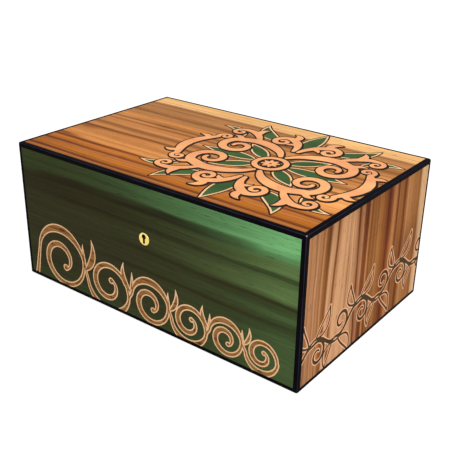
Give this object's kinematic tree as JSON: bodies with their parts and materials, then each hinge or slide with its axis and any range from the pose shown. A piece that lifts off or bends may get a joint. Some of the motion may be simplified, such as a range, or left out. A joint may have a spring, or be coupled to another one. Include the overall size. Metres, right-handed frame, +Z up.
{
  "type": "cigar humidor",
  "caption": "Hinged desktop humidor box in green and streaked brown veneer with black rounded edging, keyhole, cedar lining, lift-out tray, humidifier and hygrometer.",
  "frame": {"origin": "centre of the underside, on the surface the box stands on", "axes": "+X to the right seen from the front, along the box's length; -Y out of the front with the keyhole, +Y to the back with the hinges; +Z up"},
  "size_m": [0.38, 0.2517, 0.164],
  "materials": {
    "black_edging": "black stain under high-gloss lacquer",
    "green_veneer": "green-stained figured veneer under high-gloss lacquer",
    "striped_veneer": "streaked brown veneer under high-gloss lacquer",
    "fibreboard": "plain pressed fibreboard",
    "cedar": "sanded, unfinished cedar",
    "felt": "matt black felt",
    "brass": "polished",
    "steel": "plain rolled",
    "magnet": "dull pressed magnet",
    "black_plastic": "fine matt moulding",
    "foam": "open-cell floral foam",
    "dial_card": "printed card",
    "needle_black": "matt black paint",
    "dial_glass": "clear flat glass"
  },
  "bodies": {
    "base": {"base_corner_edging": "black_edging", "base_foot_edging": "black_edging", "felt_pad": "felt", "base_bottom": "fibreboard", "base_wall_front": "fibreboard", "base_wall_back": "fibreboard", "base_wall_sides": "fibreboard", "base_veneer_front": "green_veneer", "base_veneer_back": "striped_veneer", "base_veneer_left": "striped_veneer", "base_veneer_right": "striped_veneer", "lining_floor": "cedar", "lining_long": "cedar", "lining_ends": "cedar", "tray_cleats": "cedar", "keyhole_plate": "brass", "lock_case": "steel", "lock_cap": "steel", "lock_face": "brass", "lock_key_post": "brass", "lock_spring": "steel", "hinge_base_leaves": "brass", "hinge_pins": "brass", "base_screws": "brass"},
    "lid": {"lid_corner_edging": "black_edging", "lid_top_edging": "black_edging", "lid_panel": "fibreboard", "lid_rail_front": "fibreboard", "lid_rail_back": "fibreboard", "lid_rail_sides": "fibreboard", "lid_veneer_front": "green_veneer", "lid_veneer_back": "striped_veneer", "lid_veneer_left": "striped_veneer", "lid_veneer_right": "striped_veneer", "lid_veneer_top": "striped_veneer", "lid_lining_top": "cedar", "lid_lining_long": "cedar", "lid_lining_ends": "cedar", "lock_striker": "brass", "hinge_lid_leaves": "brass", "lid_screws": "brass", "steel_keepers": "steel", "magnets": "magnet", "humidifier_case": "black_plastic", "humidifier_foam": "foam", "humidifier_cover": "black_plastic", "hygrometer_case": "brass", "hygrometer_band": "steel", "hygrometer_dial": "dial_card", "hygrometer_glass": "dial_glass", "hygrometer_bezel": "brass"},
    "hinge_arms": {"hinge_arms": "brass"},
    "lock_bolt": {"lock_bolt": "brass"},
    "base_divider": {"base_divider": "cedar"},
    "tray": {"tray_long_boards": "cedar", "tray_end_boards": "cedar", "tray_slats": "cedar"},
    "tray_divider": {"tray_divider": "cedar"},
    "needle": {"hygrometer_needle": "needle_black", "hygrometer_spindle": "brass"}
  },
  "joints": [
    {"name": "lid_hinge", "type": "hinge", "parent": "base", "child": "lid", "pos_m": [0, 0.1249, 0.11707], "axis": [-1, 0, 0], "range_deg": [0, 95]},
    {"name": "arm_swing", "type": "hinge", "parent": "base", "child": "hinge_arms", "pos_m": [0, 0.1249, 0.11707], "axis": [-1, 0, 0], "range_deg": [0, 47.5]},
    {"name": "bolt_throw", "type": "slide", "parent": "base", "child": "lock_bolt", "axis": [1, 0, 0], "range_m": [0, 0.004]},
    {"name": "base_divider_slide", "type": "slide", "parent": "base", "child": "base_divider", "axis": [1, 0, 0], "range_m": [-0.13, 0.13]},
    {"name": "tray_lift", "type": "slide", "parent": "base", "child": "tray", "axis": [0, 0, 1], "range_m": [0, 0.02]},
    {"name": "tray_divider_slide", "type": "slide", "parent": "tray", "child": "tray_divider", "axis": [1, 0, 0], "range_m": [-0.13, 0.13]},
    {"name": "needle_turn", "type": "hinge", "parent": "lid", "child": "needle", "pos_m": [0.09, 0, 0.14], "axis": [0, 0, 1], "range_deg": [-189, 81], "stiffness_Nm_per_rad": 0.00001}
  ],
  "couplings": [
    {"joint": "arm_swing", "follows": "lid_hinge", "ratio": 0.5}
  ]
}
